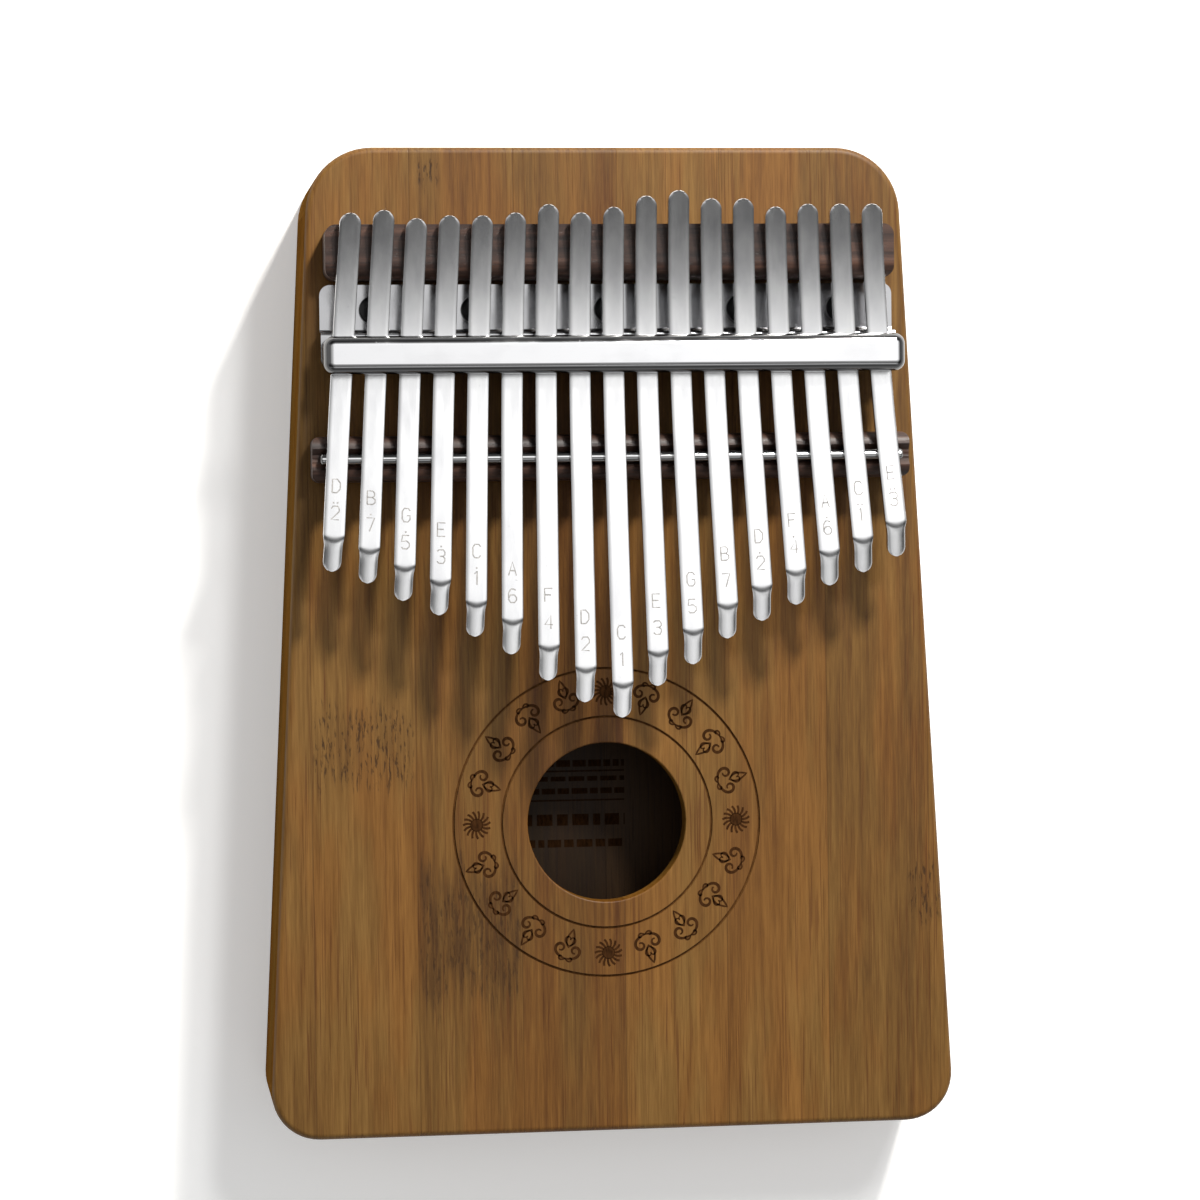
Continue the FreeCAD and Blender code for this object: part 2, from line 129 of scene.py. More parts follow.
# ---- rosette, in mm ----
BAND_R = 24.6
RING_LINE = 0.34
RING_STEPS = 128
STAR_R = 2.6
STAR_DISC_R = 1.2
STAR_RAYS = 15
STAR_RAY_WIDTH = 0.42
STAR_DISC_STEPS = 24
STAR_LEAN = 0.20
RAY_STEPS = 4
ORNAMENTS_PER_QUARTER = 4
STEM_WIDTH = 0.58
LEAF_LINE = 0.36
LEAF_LENGTH = 3.5
LEAF_WIDTH = 1.35
LEAF_STEPS = 8
CURL_STEPS = 24
# Each curl: start height, first heading in degrees, size, turns and line width.
ORNAMENT_CURLS = ((-2.2, 8, 2.60, 1.05, STEM_WIDTH), (-2.2, -38, 1.05, 0.80, LEAF_LINE),
                  (0.3, 28, 1.45, 0.75, LEAF_LINE))

# ---- marks inside on the back board, in mm from the hole's middle ----
INSIDE_LEFT = -17.0
INSIDE_RIGHT = 7.0
# Each row: height above the hole's middle, thickness and gap between dashes.
INSIDE_ROWS = ((9.4, 1.3, 0.5), (6.4, 0.9, 0.6), (4.0, 1.1, 0.5), (-1.6, 2.2, 0.9), (-6.2, 1.5, 0.6))
INSIDE_RULES = (7.9, 2.2)
INSIDE_RULE_WIDTH = 0.3

# ---- bamboo ----
STRIP_MM = 19.5
STRIP_START_MM = 2.0
# The distance between culm nodes along a strip.
NODE_SPACING_MM = 236.0
# Half the width of the dark glue line between boards.
SEAM_HALF_MM = 0.16
# Dark, middle and pale fibre.
BAMBOO_TONES = ((0.055, 0.0215, 0.0034), (0.113, 0.0545, 0.0108), (0.172, 0.090, 0.0220))
LINE_TONE = (0.070, 0.022, 0.0030)
BACK_BOARD_LIFT = 1.25
LACQUER = 0.23
# Each culm node on the top: x, y, half width and half length in mm, then tint and dashes.
TOP_KNOTS = ((-46.8, -19.4, 9.4, 9.0, 0.35, 0.85), (-27.3, -54.5, 9.6, 15.0, 0.85, 0.60),
             (63.0, -47.8, 6.5, 7.0, 0.25, 0.85), (-33.5, 88.0, 2.0, 3.0, 0.20, 1.0))

# ---- sky: brightness against how far a direction leans along Y and along X ----
SKY_BY_DEPTH = ((-1.0, 0.08), (-0.74, 0.30), (-0.63, 1.00), (-0.53, 0.92), (-0.46, 0.10), (-0.30, 0.10),
                (-0.16, 0.28), (-0.05, 0.70), (0.05, 1.00), (0.32, 1.00), (0.48, 0.24), (1.0, 0.08))
SKY_BY_SIDE = ((-1.0, 0.60), (-0.60, 0.50), (-0.30, 0.30), (-0.10, 0.70), (0.04, 0.82), (0.18, 1.0),
               (0.38, 1.0), (0.60, 0.30), (1.0, 0.20))
SKY_STRENGTH = 1.25
# Below HORIZON_TOP_Z the sky is one even tone; above OVERHEAD_Z it follows the two tables.
HORIZON_TOP_Z = 0.25
OVERHEAD_Z = 0.52
HORIZON_TONE = (0.52, 0.52, 0.52)

# ---- lamps, in metres and watts ----
KEY_PLACE = (0.264, 0.654, 0.505)
KEY_SIZE = (0.08, 0.12)
KEY_WATTS = 13.2
KEY_TINT = (1.0, 0.97, 0.92)
FILL_PLACE = (0.25, 0.50, 0.85)
FILL_SIZE = (0.14, 0.14)
FILL_WATTS = 3.6
FLOOR_SIDE = 6.0

# ---- camera, in mm from the middle of the back ----
CAMERA_PLACE = (-94.2, 24.8, 730.0)
CAMERA_TURN_DEG = (-1.406, -7.5, -0.875)
CAMERA_LENS_MM = 112.8
SENSOR_MM = 36.0


# ======================= node helpers =======================

class Tree:
    """Short calls for building one material's or the world's nodes."""

    def __init__(self, owner):
        owner.use_nodes = True
        self.tree = owner.node_tree
        self.tree.nodes.clear()

    def add(self, kind, inputs=None, **settings):
        made = self.tree.nodes.new(kind)
        for key, value in settings.items():
            setattr(made, key, value)
        for key, value in (inputs or {}).items():
            self.feed(made.inputs[key], value)
        return made

    def feed(self, socket, value):
        if isinstance(value, bpy.types.NodeSocket):
            self.tree.links.new(value, socket)
        else:
            socket.default_value = value

    def math(self, operation, a, b=0.0, c=0.0, clamp=False):
        made = self.add("ShaderNodeMath", operation=operation, use_clamp=clamp)
        for socket, value in zip(made.inputs, (a, b, c)):
            self.feed(socket, value)
        return made.outputs[0]

    def mix(self, share, a, b, blend="MIX"):
        made = self.add("ShaderNodeMix", data_type="RGBA", blend_type=blend)
        self.feed(made.inputs[0], share)
        self.feed(made.inputs[6], rgba(a))
        self.feed(made.inputs[7], rgba(b))
        return made.outputs[2]

    def ramp(self, value, stops):
        made = self.add("ShaderNodeValToRGB")
        while len(made.color_ramp.elements) < len(stops):
            made.color_ramp.elements.new(0.5)
        for element, (place, colour) in zip(made.color_ramp.elements, stops):
            element.position = place
            element.color = rgba(colour)
        self.feed(made.inputs[0], value)
        return made.outputs[0]

    def span(self, value, low, high, to_low=0.0, to_high=1.0, smooth=False):
        made = self.add("ShaderNodeMapRange", interpolation_type="SMOOTHSTEP" if smooth else "LINEAR")
        for socket, number in zip(made.inputs, (value, low, high, to_low, to_high)):
            self.feed(socket, number)
        return made.outputs[0]

    def place_mm(self, turn_z_deg=0.0, turn_x_deg=0.0, turn_y_deg=0.0):
        """Place on the object in mm, turned so that the grain runs along Y and the strips lie along X."""
        coordinates = self.add("ShaderNodeTexCoord").outputs["Object"]
        made = self.add("ShaderNodeMapping", {"Vector": coordinates})
        made.inputs["Scale"].default_value = (1 / MM,) * 3
        turns = (turn_x_deg, turn_y_deg, turn_z_deg)
        made.inputs["Rotation"].default_value = tuple(math.radians(turn) for turn in turns)
        return made.outputs[0]

    def upward(self):
        """How far the surface faces up: 1 on a level top, 0 on an upright side."""
        normal = self.add("ShaderNodeNewGeometry").outputs["Normal"]
        return self.add("ShaderNodeSeparateXYZ", {"Vector": normal}).outputs[2]

    def noise(self, place, stretch, detail=4.0, roughness=0.55):
        """Noise stretched per axis: stretch is how many mm one cell takes along X, Y and Z."""
        made = self.add("ShaderNodeMapping", {"Vector": place})
        made.inputs["Scale"].default_value = tuple(1.0 / s for s in stretch)
        field = self.add("ShaderNodeTexNoise", {"Vector": made.outputs[0], "Scale": 1.0,
                                                "Detail": detail, "Roughness": roughness})
        return field.outputs["Fac"]

    def random_of(self, value, salt):
        made = self.add("ShaderNodeTexWhiteNoise", noise_dimensions="1D")
        self.feed(made.inputs["W"], self.math("ADD", value, salt))
        return made.outputs["Value"]

    def bump(self, height, strength, distance_mm):
        made = self.add("ShaderNodeBump", {"Height": height, "Strength": strength,
                                           "Distance": distance_mm * MM})
        return made.outputs[0]

    def surface(self, **values):
        shader = self.add("ShaderNodeBsdfPrincipled")
        for key, value in values.items():
            name = key.replace("_", " ")
            self.feed(shader.inputs[name], rgba(value) if name.endswith("Color") else value)
        output = self.add("ShaderNodeOutputMaterial")
        self.tree.links.new(shader.outputs[0], output.inputs["Surface"])


def rgba(colour):
    if isinstance(colour, (tuple, list)) and len(colour) == 3:
        return tuple(colour) + (1.0,)
    return colour


def new_tree(name):
    material = bpy.data.materials.new(name)
    return material, Tree(material)


# ======================= materials =======================

def bamboo(name, tones, turn_z=0.0, turn_x=0.0, turn_y=0.0, seams=(), knots=None):
    """Flat-laminated carbonised bamboo: wide strips, long fibres and a node cluster across a strip.

    The faces that look up have a thin lacquer, and the sanded sides have none."""
    material, t = new_tree(name)
    place = t.place_mm(turn_z, turn_x, turn_y)
    axes = t.add("ShaderNodeSeparateXYZ", {"Vector": place}).outputs
    across = t.math("DIVIDE", t.math("SUBTRACT", axes[0], STRIP_START_MM), STRIP_MM)
    strip = t.math("FLOOR", across)
    inside = t.math("FRACT", across)
    tone = t.math("SUBTRACT", t.random_of(strip, 3.3), 0.5)
    wide = t.math("SUBTRACT", t.noise(place, (4.5, 120.0, 4.5), detail=2.0), 0.5)
    fibre = t.noise(place, (0.85, 24.0, 0.85), detail=4.0, roughness=0.65)
    fine = t.noise(place, (0.30, 6.0, 0.30), detail=3.0)
    drift = t.math("SUBTRACT", t.noise(place, (24.0, 60.0, 24.0), detail=2.0), 0.5)
    value = t.math("MULTIPLY_ADD", tone, 0.20, 0.5)
    value = t.math("MULTIPLY_ADD", wide, 0.40, value)
    value = t.math("MULTIPLY_ADD", t.math("SUBTRACT", fibre, 0.5), 0.90, value)
    value = t.math("MULTIPLY_ADD", t.math("SUBTRACT", fine, 0.5), 0.45, value)
    value = t.math("MULTIPLY_ADD", drift, 0.35, value, clamp=True)
    colour = t.ramp(value, [(0.16, tones[0]), (0.5, tones[1]), (0.84, tones[2])])
    hue = t.math("ADD", t.noise(place, (9.0, 46.0, 9.0), detail=3.0),
                 t.math("MULTIPLY_ADD", t.random_of(strip, 9.4), 0.24, -0.12))
    reddish = t.mix(1.0, colour, (1.06, 0.91, 0.74), blend="MULTIPLY")
    olive = t.mix(1.0, colour, (0.99, 0.98, 0.94), blend="MULTIPLY")
    colour = t.mix(t.span(hue, 0.40, 0.62, smooth=True), olive, reddish)
    crowd = t.span(t.noise(place, (7.0, 40.0, 7.0), detail=2.0), 0.34, 0.66, 0.25, 1.0)
    lines = t.span(t.noise(place, (0.34, 22.0, 0.34), detail=2.0), 0.56, 0.66, smooth=True)
    lines = t.math("MULTIPLY", lines, crowd)
    colour = t.mix(t.math("MULTIPLY", lines, 0.80), colour, LINE_TONE)
    colour, dashes = add_knots(t, place, axes, strip, inside, colour, tones, knots)
    joint = t.span(t.math("MINIMUM", inside, t.math("SUBTRACT", 1.0, inside)), 0.010, 0.0, smooth=True)
    colour = t.mix(t.math("MULTIPLY", joint, 0.55), colour, tones[0])
    height = t.math("MULTIPLY_ADD", dashes, -0.8, fibre)
    height = t.math("MULTIPLY_ADD", lines, -0.4, height)
    height = t.math("MULTIPLY_ADD", joint, -0.6, height)
    if seams:
        raw_z = t.add("ShaderNodeSeparateXYZ", {
            "Vector": t.add("ShaderNodeTexCoord").outputs["Object"]}).outputs[2]
        for level in seams:
            gap = t.math("ABSOLUTE", t.math("SUBTRACT", raw_z, level * MM))
            line = t.span(gap, SEAM_HALF_MM * MM, SEAM_HALF_MM / 4 * MM, smooth=True)
            colour = t.mix(t.math("MULTIPLY", line, 0.75), colour, (0.012, 0.007, 0.004))
            height = t.math("MULTIPLY_ADD", line, -0.8, height)
    rough = t.math("MULTIPLY_ADD", fibre, 0.20, 0.35)
    rough = t.math("MULTIPLY_ADD", t.noise(place, (14.0, 22.0, 14.0)), 0.12, rough)
    lacquer = t.math("MULTIPLY", t.span(t.upward(), 0.2, 0.7), LACQUER)
    t.surface(Base_Color=colour, Roughness=rough, Normal=t.bump(height, 0.35, 0.10),
              Specular_IOR_Level=lacquer)
    return material


def add_knots(t, place, axes, strip, inside, colour, tones, knots):
    """Culm nodes: a patch of darker wood with short dark dashes, bounded by its own strip.

    knots lists (x, y, half width, half length, tint, dashes), lengths in mm. None gives every strip
    its own at a random place."""
    dash = t.span(t.noise(place, (0.46, 2.9, 0.46), detail=3.0, roughness=0.6), 0.52, 0.64, smooth=True)
    hairs = t.span(t.noise(place, (0.55, 9.0, 0.55), detail=3.0), 0.30, 0.66)
    ragged = t.math("SUBTRACT", t.noise(place, (0.9, 34.0, 0.9), detail=3.0), 0.5)
    pits = 0.0
    if knots is None:
        shift = t.math("MULTIPLY", t.random_of(strip, 8.1), NODE_SPACING_MM)
        along = t.math("ADD", t.math("ADD", axes[1], 2 * NODE_SPACING_MM), shift)
        middle = t.math("SUBTRACT", t.math("MODULO", along, NODE_SPACING_MM), NODE_SPACING_MM / 2)
        bound = t.span(t.math("ABSOLUTE", t.math("SUBTRACT", inside, 0.5)), 0.5, 0.46, smooth=True)
        patches = [(bound, middle, 8.0, 0.25, 0.7)]
    else:
        patches = []
        for x, y, half_x, half_y, tint, dashes in knots:
            off = t.math("ABSOLUTE", t.math("SUBTRACT", axes[0], x))
            bound = t.span(off, half_x + 0.5, half_x - 0.7, smooth=True)
            patches.append((bound, t.math("SUBTRACT", axes[1], y), half_y, tint, dashes))
    for bound, middle, half_y, tint, dashes in patches:
        away = t.math("ABSOLUTE", t.math("MULTIPLY_ADD", ragged, half_y * 2.0, middle))
        mask = t.math("MULTIPLY", bound, t.span(away, half_y, half_y * 0.45, smooth=True))
        shade = t.math("MULTIPLY", t.math("MULTIPLY", mask, hairs), tint)
        colour = t.mix(shade, colour, [c * 0.72 for c in tones[0]])
        spots = t.math("MULTIPLY", t.math("MULTIPLY", mask, dash), dashes)
        colour = t.mix(spots, colour, [c * 0.45 for c in tones[0]])
        pits = t.math("MAXIMUM", pits, spots)
    return colour, pits


def rosewood(name):
    """Dark oiled rosewood, grain along X: streaks, short open pores and a soft sheen."""
    material, t = new_tree(name)
    place = t.place_mm(turn_z_deg=90.0)
    streak = t.noise(place, (1.1, 34.0, 1.1), detail=5.0, roughness=0.6)
    warp = t.noise(place, (5.0, 70.0, 5.0), detail=2.0)
    pore = t.noise(place, (0.16, 2.2, 0.16), detail=2.0)
    value = t.math("MULTIPLY_ADD", t.math("SUBTRACT", warp, 0.5), 0.8, streak, clamp=True)
    colour = t.ramp(value, [(0.28, (0.010, 0.0055, 0.0045)), (0.5, (0.030, 0.0145, 0.0100)),
                            (0.76, (0.074, 0.035, 0.0220))])
    pits = t.span(pore, 0.62, 0.70, smooth=True)
    colour = t.mix(t.math("MULTIPLY", pits, 0.7), colour, (0.006, 0.003, 0.0025))
    height = t.math("MULTIPLY_ADD", pits, -1.0, t.math("MULTIPLY", streak, 0.5))
    rough = t.math("MULTIPLY_ADD", streak, 0.22, 0.34)
    t.surface(Base_Color=colour, Roughness=rough, Normal=t.bump(height, 0.4, 0.12),
              Specular_IOR_Level=0.30)
    return material


def raw_wood(name):
    """Sawn pale hardwood inside the box."""
    material, t = new_tree(name)
    place = t.place_mm(turn_z_deg=90.0)
    grain = t.noise(place, (0.9, 26.0, 0.9), detail=5.0)
    saw = t.noise(place, (4.0, 0.7, 4.0), detail=2.0)
    colour = t.ramp(grain, [(0.3, (0.18, 0.10, 0.045)), (0.7, (0.36, 0.24, 0.13))])
    height = t.math("ADD", grain, saw)
    t.surface(Base_Color=colour, Roughness=t.math("MULTIPLY_ADD", saw, 0.2, 0.6),
              Normal=t.bump(height, 0.5, 0.2))
    return material


def polished(name, colour, roughness, wipe_turn=0.0, smudge=0.10, painted_side_shade=1.0):
    """Plated metal: wiping marks, finger smudges, pin pricks, and painted shade that darkens the sides."""
    material, t = new_tree(name)
    place = t.place_mm(turn_z_deg=wipe_turn)
    wipe = t.noise(place, (0.12, 9.0, 0.12), detail=4.0)
    cloud = t.noise(place, (7.0, 9.0, 7.0), detail=3.0)
    prick = t.noise(place, (0.35, 0.35, 0.35), detail=1.0)
    spots = t.span(prick, 0.76, 0.82, smooth=True)
    dull = t.span(cloud, 0.45, 0.75, 0.0, smudge, smooth=True)
    rough = t.math("ADD", t.math("MULTIPLY_ADD", wipe, 0.07, roughness), dull)
    rough = t.math("MULTIPLY_ADD", spots, 0.3, rough, clamp=True)
    shade = t.mix(t.math("MULTIPLY", spots, 0.5), colour, [c * 0.4 for c in colour])
    shade = t.mix(t.math("MULTIPLY", dull, 1.2), shade, [c * 0.86 for c in colour])
    # Painted shade: faces that lean away from straight up take a darker copy of the colour.
    side = t.span(t.upward(), 0.985, 0.93, smooth=True)
    shade = t.mix(side, shade, [c * painted_side_shade for c in colour])
    t.surface(Base_Color=shade, Metallic=1.0, Roughness=rough, Normal=t.bump(wipe, 0.06, 0.02))
    return material


def tine_steel(name):
    """Nickel-plated spring steel: lengthwise polish lines, cloudy handling marks."""
    material, t = new_tree(name)
    place = t.place_mm()
    line = t.noise(place, (0.10, 26.0, 0.5), detail=4.0, roughness=0.6)
    cloud = t.noise(place, (3.0, 8.0, 3.0), detail=3.0)
    speck = t.span(t.noise(place, (0.4, 0.5, 0.4), detail=1.0), 0.74, 0.82, smooth=True)
    rough = t.math("MULTIPLY_ADD", line, 0.10, 0.09)
    rough = t.math("MULTIPLY_ADD", cloud, 0.10, rough)
    shade = t.ramp(cloud, [(0.3, (0.78, 0.78, 0.79)), (0.7, (0.88, 0.88, 0.88))])
    shade = t.mix(t.math("MULTIPLY", speck, 0.35), shade, (0.30, 0.29, 0.28))
    t.surface(Base_Color=shade, Metallic=1.0, Roughness=rough, Normal=t.bump(line, 0.10, 0.03),
              Anisotropic=0.35)
    return material


def black_oxide(name):
    """Blackened screw steel with rubbed-bright flecks."""
    material, t = new_tree(name)
    place = t.place_mm()
    cloud = t.noise(place, (0.9, 0.9, 0.9), detail=4.0)
    rub = t.span(t.noise(place, (0.25, 0.25, 0.25), detail=2.0), 0.66, 0.76, smooth=True)
    colour = t.mix(t.math("MULTIPLY", rub, 0.4), (0.012, 0.012, 0.013), (0.10, 0.10, 0.105))
    t.surface(Base_Color=colour, Metallic=0.6, Roughness=t.math("MULTIPLY_ADD", cloud, 0.25, 0.24),
              Normal=t.bump(cloud, 0.1, 0.05))
    return material


def burnt_line(name, dark, pale):
    """Laser-burnt engraving: uneven brown char."""
    material, t = new_tree(name)
    place = t.place_mm()
    char = t.noise(place, (0.5, 1.6, 0.5), detail=4.0)
    colour = t.ramp(char, [(0.3, dark), (0.72, pale)])
    t.surface(Base_Color=colour, Roughness=0.8, Normal=t.bump(char, 0.4, 0.05), Specular_IOR_Level=0.03)
    return material


def etched_mark(name):
    """Dull grey etched marks on the steel, worn thin in places."""
    material, t = new_tree(name)
    place = t.place_mm()
    worn = t.noise(place, (0.4, 0.6, 0.4), detail=3.0)
    colour = t.ramp(worn, [(0.35, (0.17, 0.165, 0.16)), (0.75, (0.36, 0.35, 0.34))])
    t.surface(Base_Color=colour, Metallic=0.0, Roughness=0.7)
    return material


def pale_floor(name):
    material, t = new_tree(name)
    place = t.place_mm()
    tooth = t.noise(place, (1.5, 1.5, 1.5), detail=3.0)
    colour = t.ramp(tooth, [(0.3, (0.80, 0.80, 0.79)), (0.7, (0.83, 0.83, 0.82))])
    t.surface(Base_Color=colour, Roughness=0.75, Emission_Color=(1.0, 1.0, 1.0), Emission_Strength=0.30)
    return material


# ======================= mesh helpers =======================

class Builder:
    """Collects vertices and faces in mm, with a material number per face."""

    def __init__(self):
        self.points = []
        self.faces = []
        self.slots = []

    def add(self, points, faces, slot=0):
        base = len(self.points)
        self.points += [tuple(p) for p in points]
        self.faces += [tuple(base + k for k in face) for face in faces]
        self.slots += [slot] * len(faces)

    def make(self, name, materials, smooth_deg=None):
        mesh = bpy.data.meshes.new(name)
        mesh.from_pydata([Vector(p) * MM for p in self.points], [], self.faces)
        for material in materials:
            mesh.materials.append(material)
        for polygon, slot in zip(mesh.polygons, self.slots):
            polygon.material_index = slot
            polygon.use_smooth = smooth_deg is not None
        if smooth_deg is not None:
            mesh.set_sharp_from_angle(angle=math.radians(smooth_deg))
        mesh.validate()
        made = bpy.data.objects.new(name, mesh)
        bpy.context.scene.collection.objects.link(made)
        return made


def ribbon(points, width, closed=False, taper=0.0):
    """Left and right borders of a line through 2D points. taper thins it towards both ends."""
    count = len(points)
    left, right = [], []
    for k, (x, y) in enumerate(points):
        before = points[(k - 1) % count] if closed or k > 0 else points[k]
        after = points[(k + 1) % count] if closed or k < count - 1 else points[k]
        dx, dy = after[0] - before[0], after[1] - before[1]
        length = math.hypot(dx, dy) or 1.0
        here = width * (1 - taper + taper * math.sin(math.pi * k / max(count - 1, 1)))
        nx, ny = -dy / length * here / 2, dx / length * here / 2
        left.append((x + nx, y + ny))
        right.append((x - nx, y - ny))
    return left, right


def lay_ribbon(builder, points, width, lift, slot=0, closed=False, taper=0.0):
    """Add a ribbon as a strip of faces; lift(x, y) gives the 3D place of a 2D point."""
    left, right = ribbon(points, width, closed, taper)
    count = len(points)
    vertices = [lift(*p) for p in left] + [lift(*p) for p in right]
    last = count if closed else count - 1
    faces = [(count + k, count + (k + 1) % count, (k + 1) % count, k) for k in range(last)]
    builder.add(vertices, faces, slot)


def flat_at(z):
    return lambda x, y: (x, y, z)


# ======================= tines =======================

GLYPHS = {
    "A": [[(0, 0), (0.5, 1.0), (1, 0)], [(0.2, 0.36), (0.8, 0.36)]],
    "B": [[(0, 0), (0, 1), (0.65, 1), (0.9, 0.86), (0.9, 0.64), (0.65, 0.52), (0, 0.52)],
          [(0.65, 0.52), (1, 0.36), (1, 0.14), (0.7, 0), (0, 0)]],
    "C": [[(1, 0.82), (0.75, 1), (0.25, 1), (0, 0.78), (0, 0.22), (0.25, 0), (0.75, 0), (1, 0.18)]],
    "D": [[(0, 0), (0, 1), (0.6, 1), (1, 0.72), (1, 0.28), (0.6, 0), (0, 0)]],
    "E": [[(1, 1), (0, 1), (0, 0), (1, 0)], [(0, 0.52), (0.8, 0.52)]],
    "F": [[(1, 1), (0, 1), (0, 0)], [(0, 0.52), (0.8, 0.52)]],
    "G": [[(1, 0.82), (0.75, 1), (0.25, 1), (0, 0.78), (0, 0.22), (0.25, 0), (0.75, 0), (1, 0.18),
           (1, 0.46), (0.6, 0.46)]],
    "1": [[(0.25, 0.8), (0.55, 1), (0.55, 0)]],
    "2": [[(0, 0.8), (0.2, 1), (0.8, 1), (1, 0.8), (1, 0.6), (0, 0), (1, 0)]],
    "3": [[(0, 0.88), (0.25, 1), (0.8, 1), (1, 0.82), (1, 0.64), (0.75, 0.52), (0.35, 0.52)],
          [(0.75, 0.52), (1, 0.36), (1, 0.18), (0.8, 0), (0.25, 0), (0, 0.14)]],
    "4": [[(0.75, 0), (0.75, 1), (0, 0.32), (1, 0.32)]],
    "5": [[(0.95, 1), (0.1, 1), (0, 0.54), (0.6, 0.6), (1, 0.42), (1, 0.18), (0.7, 0), (0.2, 0),
           (0, 0.14)]],
    "6": [[(0.9, 0.9), (0.65, 1), (0.3, 1), (0, 0.72), (0, 0.22), (0.25, 0), (0.75, 0), (1, 0.18),
           (1, 0.36), (0.75, 0.56), (0.25, 0.56), (0, 0.36)]],
    "7": [[(0, 1), (1, 1), (0.4, 0)]],
}


def free_length(index):
    """Plan length from wire to tip; pitch falls with the square of the vibrating length."""
    vibrating = (LOWEST_FREE_LENGTH + END_CORRECTION) * 2.0 ** (-SEMITONES[index] / 24.0)
    return vibrating - END_CORRECTION


class TineLine:
    """The middle line of one tine in its own upright plane: y along it, tip at -y, and z up."""

    def __init__(self, index):
        x = (index - TINE_COUNT // 2) * TINE_PITCH
        self.angle = math.atan2(x, FAN_APEX_DISTANCE)
        self.turn = Matrix.Translation((x, WIRE_Y, 0)) @ Matrix.Rotation(self.angle, 4, "Z")
        self.length = free_length(index)
        self.top = (BACKREST_REAR_Y + TOP_PROTRUSION[index] - WIRE_Y) / math.cos(self.angle) - END_SHY
        self.root = self.on_arc(-SLOPE)
        run = (self.length - TIP_LENGTH + self.root[0]) / math.cos(SLOPE)
        self.bend_start = (self.root[0] - run * math.cos(SLOPE), self.root[1] + run * math.sin(SLOPE))
        self.bend_centre = (self.bend_start[0] - TIP_BEND_R * math.sin(SLOPE),
                            self.bend_start[1] - TIP_BEND_R * math.cos(SLOPE))

    def on_arc(self, angle):
        return (BAR_TO_WIRE + TINE_ARC_R * math.sin(angle), ARC_CENTRE_Z - TINE_ARC_R * math.cos(angle))

    def on_run(self, share):
        """(y, z) on the straight run: share 0 is the root and 1 the start of the tip's bend."""
        return tuple(root + (bend - root) * share for root, bend in zip(self.root, self.bend_start))

    def stations(self):
        """(y, z, tilt of the surface, half width) from the top end to the tip."""
        rows = []
        half = TINE_WIDTH / 2
        for k in range(END_STEPS + 1):
            y = self.top - half * (1 - math.cos(math.pi / 2 * k / END_STEPS))
            width = half * math.sin(math.pi / 2 * k / END_STEPS)
            angle = math.asin((y - BAR_TO_WIRE) / TINE_ARC_R)
            rows.append(self.on_arc(angle) + (-angle, max(width, POINT_HALF_WIDTH)))
        first = math.asin((self.top - half - BAR_TO_WIRE) / TINE_ARC_R)
        for k in range(1, ARC_STEPS + 1):
            angle = first + (-SLOPE - first) * k / ARC_STEPS
            rows.append(self.on_arc(angle) + (-angle, half))
        for k in range(1, RUN_STEPS + 1):
            rows.append(self.on_run(k / RUN_STEPS) + (SLOPE, half))
        for k in range(1, BEND_STEPS + 1):
            tilt = SLOPE - TIP_BEND * k / BEND_STEPS
            y = self.bend_centre[0] + TIP_BEND_R * math.sin(tilt)
            z = self.bend_centre[1] + TIP_BEND_R * math.cos(tilt)
            rows.append((y, z, tilt, self.tip_half_width(y)))
        y0, z0, tilt = rows[-1][:3]
        nose = TIP_WIDTH / 2
        marks = [y0 + (-self.length + nose - y0) * k / TIP_STEPS for k in range(1, TIP_STEPS + 1)]
        marks += [-self.length + nose * (1 - math.sin(math.pi / 2 * k / END_STEPS))
                  for k in range(1, END_STEPS + 1)]
        for y in marks:
            rows.append((y, z0 - (y - y0) * math.tan(tilt), tilt, self.tip_half_width(y)))
        return rows

    def tip_half_width(self, y):
        half, tip = TINE_WIDTH / 2, TIP_WIDTH / 2
        shoulder = -(self.length - TIP_LENGTH + SHOULDER_PAST_BEND)
        share = min(max((shoulder - y) / TIP_SHOULDER, 0.0), 1.0)
        width = half + (tip - half) * share
        over = -self.length + tip - y
        if over > 0:
            width = math.sqrt(max(tip * tip - over * over, 0.0))
        return max(width, POINT_HALF_WIDTH)

    def world(self, x, y, z):
        return self.turn @ Vector((x, y, z))


def tine_section(half_width, crown):
    """Rounded-rectangle cross-section as (across, above) pairs, its faces domed by crown."""
    edge = min(TINE_EDGE, half_width * 0.6)
    soft = edge * 0.3
    flat = half_width - edge
    pairs = [(flat * (2 * k / (TOP_POINTS - 1) - 1), STRIP_HALF_T) for k in range(TOP_POINTS)]
    right = [(half_width - soft, STRIP_HALF_T - soft), (half_width, STRIP_HALF_T - edge),
             (half_width, edge - STRIP_HALF_T), (half_width - soft, soft - STRIP_HALF_T)]
    pairs += right + [(flat, -STRIP_HALF_T), (-flat, -STRIP_HALF_T)]
    pairs += [(-across, above) for across, above in reversed(right)]
    return [(across, above - crown * (across / TIP_WIDTH * 2) ** 2) for across, above in pairs]


def tip_crown(line, y):
    """The tips are swaged slightly round: no dome on the straight part, all of it past the bend."""
    share = min(max((line.bend_start[0] - y) / CROWN_RUN, 0.0), 1.0)
    return TIP_CROWN * share * share * (3 - 2 * share)


